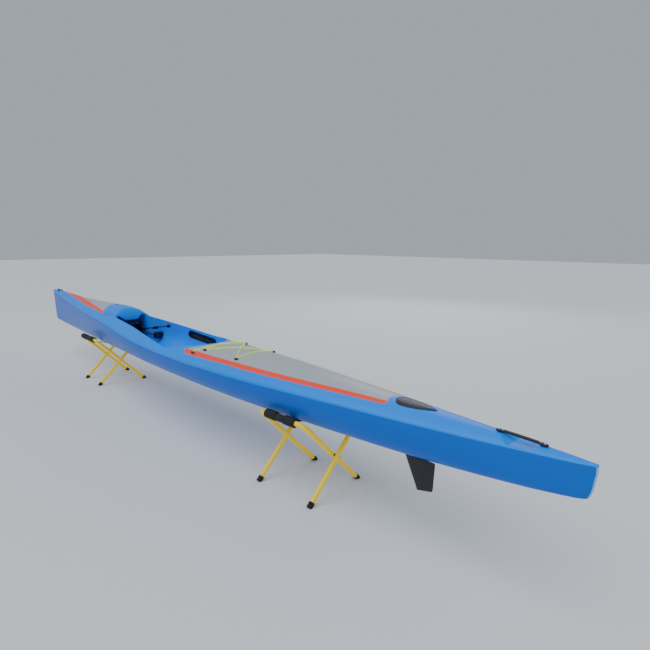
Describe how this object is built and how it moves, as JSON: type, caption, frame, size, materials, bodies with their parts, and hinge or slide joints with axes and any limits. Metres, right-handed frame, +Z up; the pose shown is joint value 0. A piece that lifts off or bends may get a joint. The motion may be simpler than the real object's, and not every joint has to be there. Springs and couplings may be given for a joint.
{
  "type": "surfski on two folding trestles",
  "caption": "Long narrow sit-on-top racing kayak with an open cockpit, foot gear and under-hull rudder, lying in folding trestles with slings.",
  "frame": {"origin": "on the floor under the boat, midway between its ends", "axes": "+X along the boat to the bow, +Y to port, +Z up"},
  "size_m": [5.4, 0.48, 0.667],
  "materials": {
    "hull_paint": "gloss",
    "deck_paint": "gloss",
    "black_plastic": "satin",
    "grey_metal": "satin",
    "bungee_cord": "matte",
    "trestle_paint": "semi gloss",
    "black_foam": "matte",
    "black_webbing": "matte",
    "black_rubber": "matte"
  },
  "bodies": {
    "boat": {"hull": "hull_paint", "deck": "deck_paint", "cockpit_tub": "deck_paint", "grip_port": "black_plastic", "grip_stbd": "black_plastic", "handle_stern": "black_plastic", "handle_bow": "black_plastic", "rudder_tube": "grey_metal", "rudder_hatch_cover": "black_plastic", "foot_rail_port": "grey_metal", "foot_rail_stbd": "grey_metal", "rail_clamp_port": "black_plastic", "rail_clamp_stbd": "black_plastic", "bungee": "bungee_cord", "bungee_fitting_1": "black_plastic", "bungee_fitting_2": "black_plastic", "bungee_fitting_3": "black_plastic", "bungee_fitting_4": "black_plastic", "bungee_fitting_5": "black_plastic", "bungee_fitting_6": "black_plastic", "hump_eye": "black_plastic", "trestle_aft_outer_frame": "trestle_paint", "trestle_aft_outer_foam": "black_foam", "trestle_aft_outer_cap_a": "black_rubber", "trestle_aft_outer_cap_b": "black_rubber", "trestle_aft_inner_frame": "trestle_paint", "trestle_aft_inner_foam": "black_foam", "trestle_aft_inner_cap_a": "black_rubber", "trestle_aft_inner_cap_b": "black_rubber", "trestle_aft_pivot_a": "black_plastic", "trestle_aft_pivot_b": "black_plastic", "trestle_aft_sling": "black_webbing", "trestle_fore_outer_frame": "trestle_paint", "trestle_fore_outer_foam": "black_foam", "trestle_fore_outer_cap_a": "black_rubber", "trestle_fore_outer_cap_b": "black_rubber", "trestle_fore_inner_frame": "trestle_paint", "trestle_fore_inner_foam": "black_foam", "trestle_fore_inner_cap_a": "black_rubber", "trestle_fore_inner_cap_b": "black_rubber", "trestle_fore_pivot_a": "black_plastic", "trestle_fore_pivot_b": "black_plastic", "trestle_fore_sling": "black_webbing"},
    "rudder": {"rudder_blade": "black_plastic"},
    "footrest": {"footplate": "black_plastic", "pedal_port": "black_plastic", "pedal_stbd": "black_plastic", "foot_strap": "black_webbing", "adjuster_rod": "black_plastic"}
  },
  "joints": [
    {"name": "rudder_steer", "type": "hinge", "parent": "boat", "child": "rudder", "pos_m": [-2.03, 0, 0.35], "axis": [0, 0, 1], "range_deg": [-40, 40]},
    {"name": "footrest_slide", "type": "slide", "parent": "boat", "child": "footrest", "axis": [1, 0, 0], "range_m": [-0.14, 0.07]}
  ]
}
